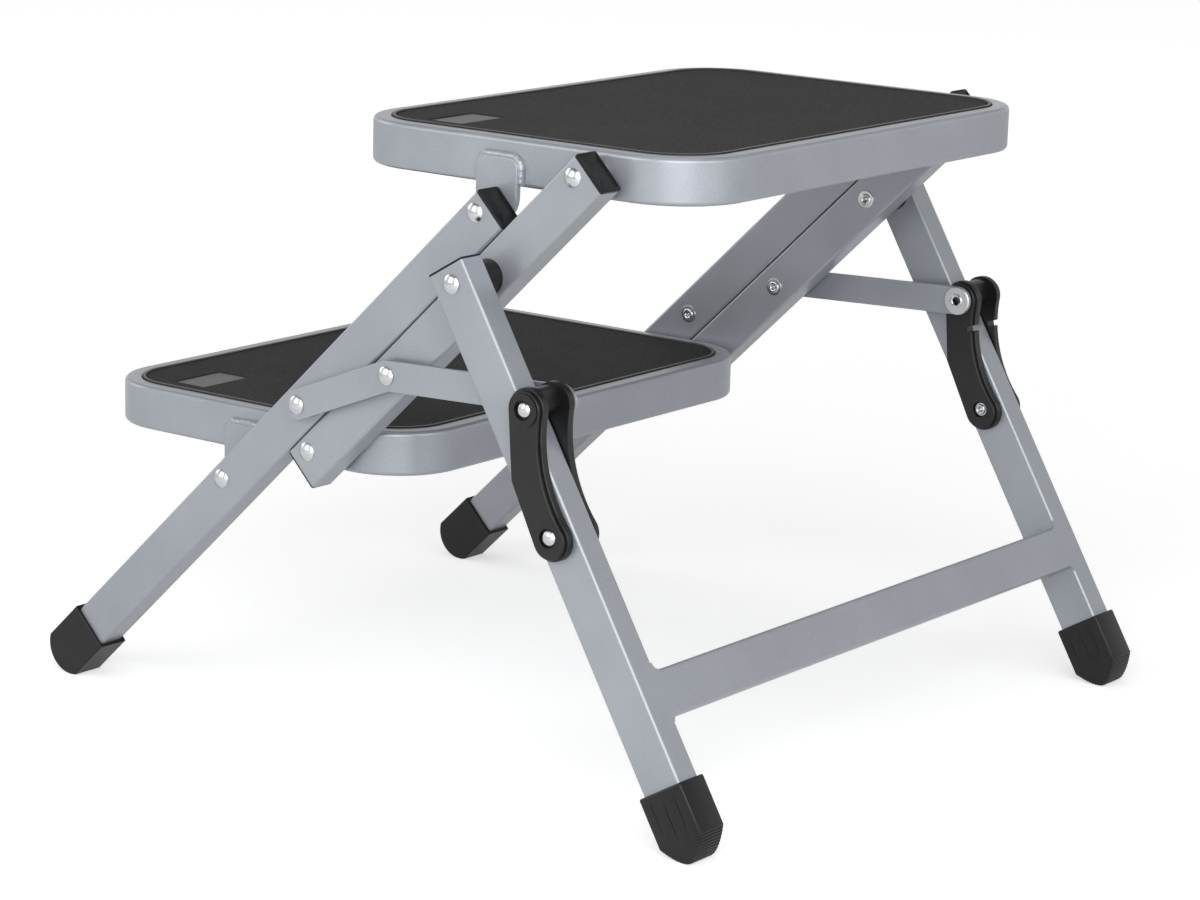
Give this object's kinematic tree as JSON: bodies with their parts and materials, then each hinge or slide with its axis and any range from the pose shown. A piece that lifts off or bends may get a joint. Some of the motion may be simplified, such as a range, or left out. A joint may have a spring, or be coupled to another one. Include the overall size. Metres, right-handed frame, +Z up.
{
  "type": "folding caravan step",
  "caption": "Folding step with a low and a high matted tread on crossed tube legs, held open by levers that lock over centre.",
  "frame": {"origin": "on the floor, in the middle plane, midway between the front and rear feet", "axes": "+Z up, -Y towards the low tread that is climbed first, +X to the right of the person who climbs"},
  "size_m": [0.542, 0.5886, 0.4141],
  "materials": {
    "silver_paint": "satin silver paint on steel tube",
    "foot_rubber": "moulded matt rubber",
    "black_plastic": "moulded satin plastic",
    "rivet_metal": "bright formed rivet",
    "plated_steel": "zinc plated",
    "mat_rubber": "fine grained matt rubber",
    "grey_patch": "plain matt grey"
  },
  "bodies": {
    "front_frame": {"front_leg_left": "silver_paint", "front_leg_right": "silver_paint", "front_foot_left": "foot_rubber", "front_foot_right": "foot_rubber", "front_leg_cap_left": "black_plastic", "front_leg_cap_right": "black_plastic", "front_leg_rivets": "rivet_metal", "link_front_rivets": "rivet_metal", "link_front_spacers": "plated_steel"},
    "upper_tread": {"upper_tread_rim": "silver_paint", "upper_tread_deck": "silver_paint", "upper_tread_mat": "mat_rubber", "upper_tread_mat_patch": "grey_patch", "upper_tread_ear_left": "silver_paint", "upper_tread_ear_right": "silver_paint", "upper_tread_spacers": "plated_steel"},
    "lower_tread": {"lower_tread_rim": "silver_paint", "lower_tread_deck": "silver_paint", "lower_tread_mat": "mat_rubber", "lower_tread_mat_patch": "grey_patch", "lower_tread_ear_left": "silver_paint", "lower_tread_ear_right": "silver_paint", "lower_tread_spacers": "plated_steel"},
    "links": {"link_left": "silver_paint", "link_right": "silver_paint", "link_end_collars": "plated_steel", "link_end_rivets": "rivet_metal"},
    "second_bars": {"second_bar_left": "silver_paint", "second_bar_right": "silver_paint", "second_bar_top_cap_left": "black_plastic", "second_bar_top_cap_right": "black_plastic", "second_bar_low_cap_left": "black_plastic", "second_bar_low_cap_right": "black_plastic", "second_bar_rivets": "rivet_metal", "link_rear_rivets": "rivet_metal", "link_rear_spacers": "plated_steel", "rear_leg_rivets": "rivet_metal", "rear_leg_spacers": "black_plastic"},
    "rear_frame": {"rear_leg_left": "silver_paint", "rear_leg_right": "silver_paint", "rear_foot_left": "foot_rubber", "rear_foot_right": "foot_rubber", "rear_leg_cap_left": "black_plastic", "rear_leg_cap_right": "black_plastic", "crossbar": "silver_paint", "lever_rivets": "rivet_metal"},
    "lever_left": {"lever_left": "black_plastic", "lever_pin_left": "rivet_metal"},
    "lever_right": {"lever_right": "black_plastic", "lever_pin_right": "rivet_metal"}
  },
  "joints": [
    {"name": "tread_fold", "type": "hinge", "parent": "front_frame", "child": "upper_tread", "pos_m": [0, 0.07875, 0.36873], "axis": [-1, 0, 0], "range_deg": [0, 129.55]},
    {"name": "lower_tread_fold", "type": "hinge", "parent": "front_frame", "child": "lower_tread", "pos_m": [0, -0.13382, 0.16346], "axis": [-1, 0, 0], "range_deg": [0, 129.55]},
    {"name": "link_swing", "type": "hinge", "parent": "front_frame", "child": "links", "pos_m": [0, -0.06087, 0.22612], "axis": [-1, 0, 0], "range_deg": [0, 129.55]},
    {"name": "second_bar_swing", "type": "hinge", "parent": "upper_tread", "child": "second_bars", "pos_m": [0, 0.15448, 0.39933], "axis": [-1, 0, 0], "range_deg": [-129.55, 0]},
    {"name": "rear_leg_fold", "type": "hinge", "parent": "second_bars", "child": "rear_frame", "pos_m": [0, 0.09076, 0.33], "axis": [-1, 0, 0], "range_deg": [0, 76.6]},
    {"name": "left_lever_turn", "type": "hinge", "parent": "rear_frame", "child": "lever_left", "pos_m": [0, 0.17627, 0.1854], "axis": [-1, 0, 0], "range_deg": [0, 149.2]},
    {"name": "right_lever_turn", "type": "hinge", "parent": "rear_frame", "child": "lever_right", "pos_m": [0, 0.17627, 0.1854], "axis": [-1, 0, 0], "range_deg": [0, 149.2]}
  ],
  "couplings": [
    {"joint": "lower_tread_fold", "follows": "tread_fold", "ratio": 1},
    {"joint": "link_swing", "follows": "tread_fold", "ratio": 1},
    {"joint": "second_bar_swing", "follows": "tread_fold", "ratio": -1},
    {"joint": "rear_leg_fold", "follows": "tread_fold", "ratio": 0.59125},
    {"joint": "left_lever_turn", "follows": "tread_fold", "ratio": 1.1516},
    {"joint": "right_lever_turn", "follows": "tread_fold", "ratio": 1.1516}
  ]
}
